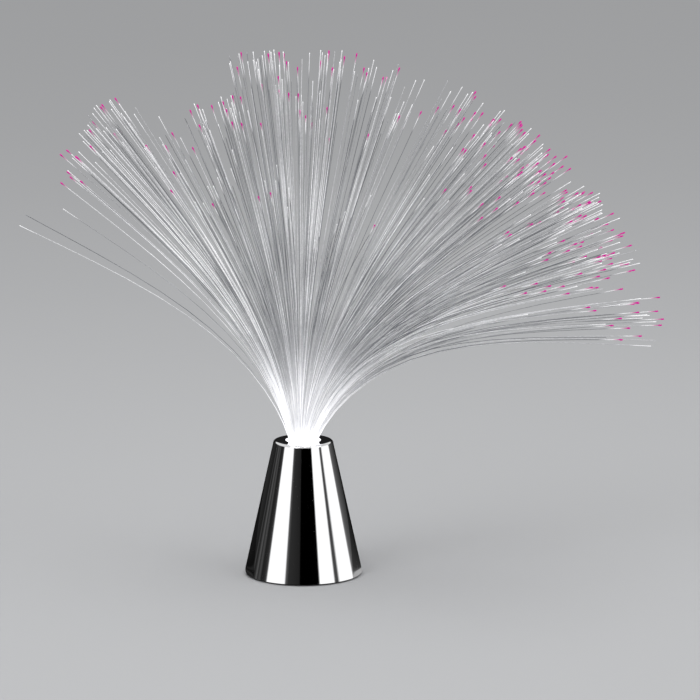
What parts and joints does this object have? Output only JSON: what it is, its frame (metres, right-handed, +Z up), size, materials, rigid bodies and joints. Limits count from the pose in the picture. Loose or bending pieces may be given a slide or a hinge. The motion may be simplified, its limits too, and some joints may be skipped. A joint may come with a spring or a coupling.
{
  "type": "fibre optic lamp",
  "caption": "Fibre optic lamp: chromed cone base holding cells and coloured lamps, with a wide loose spray of optical fibres glowing at their tips.",
  "frame": {"origin": "centre of the rubber foot ring's lower face, on the surface the lamp stands on", "axes": "+Z up along the cone's axis, -Y towards the viewer of the picture, +X to the viewer's right"},
  "size_m": [0.4272, 0.369, 0.3491],
  "materials": {
    "chrome_shell": "mirror bright plated moulding",
    "base_moulding": "fine moulded grain",
    "door_moulding": "fine moulded grain",
    "foot_rubber": "matt",
    "screw_steel": "zinc plated",
    "cell_jacket": "glossy printed sleeve, plain",
    "contact_steel": "nickel plated",
    "spring_steel": "nickel plated",
    "switch_steel": "tinned",
    "phenolic": "pressed sheet",
    "terminal_brass": "tinned brass",
    "lever_plastic": "satin",
    "board_laminate": "solder mask",
    "led_red_resin": "clear resin",
    "led_green_resin": "clear resin",
    "led_blue_resin": "clear resin",
    "chip_plastic": "moulded",
    "resistor_ceramic": "glazed",
    "lead_red": "soft sleeve",
    "lead_black": "soft sleeve",
    "bush_plastic": "soft white, lit from below",
    "ferrule_aluminium": "drawn tube",
    "potting": "polished fibre ends in clear resin",
    "fibre": "clear drawn fibre"
  },
  "bodies": {
    "base": {"base_shell": "chrome_shell", "base_plate": "base_moulding", "foot_ring": "foot_rubber", "plate_screws": "screw_steel", "cell_1": "cell_jacket", "cell_2": "cell_jacket", "cell_3": "cell_jacket", "spring_1": "spring_steel", "spring_2": "spring_steel", "spring_3": "spring_steel", "contact_positive": "contact_steel", "contact_negative": "contact_steel", "bridge_left": "contact_steel", "bridge_right": "contact_steel", "switch_can": "switch_steel", "switch_insulator": "phenolic", "switch_terminals": "terminal_brass", "switch_screws": "screw_steel", "led_board": "board_laminate", "led_red": "led_red_resin", "led_green": "led_green_resin", "led_blue": "led_blue_resin", "driver_chip": "chip_plastic", "resistors": "resistor_ceramic", "board_screws": "screw_steel", "wire_positive": "lead_red", "wire_switched": "lead_red", "wire_negative": "lead_black"},
    "door": {"battery_door": "door_moulding"},
    "switch": {"switch_lever": "lever_plastic"},
    "bush": {"fibre_bush": "bush_plastic"},
    "spray": {"ferrule": "ferrule_aluminium", "bundle_core": "potting", "spray_1": "fibre", "spray_2": "fibre", "spray_3": "fibre", "spray_4": "fibre", "spray_5": "fibre", "spray_6": "fibre", "spray_7": "fibre", "spray_8": "fibre"}
  },
  "joints": [
    {"name": "switch_slide", "type": "slide", "parent": "base", "child": "switch", "axis": [1, 0, 0], "range_m": [0, 0.003]},
    {"name": "door_hinge", "type": "hinge", "parent": "base", "child": "door", "pos_m": [0, 0.021, 0.0036], "axis": [1, 0, 0], "range_deg": [0, 90]},
    {"name": "spray_turn", "type": "hinge", "parent": "base", "child": "bush", "pos_m": [0, 0, 0.07], "axis": [0, 0, 1], "continuous": true},
    {"name": "spray_lift", "type": "slide", "parent": "bush", "child": "spray", "axis": [0, 0, 1], "range_m": [0, 0.032]}
  ]
}
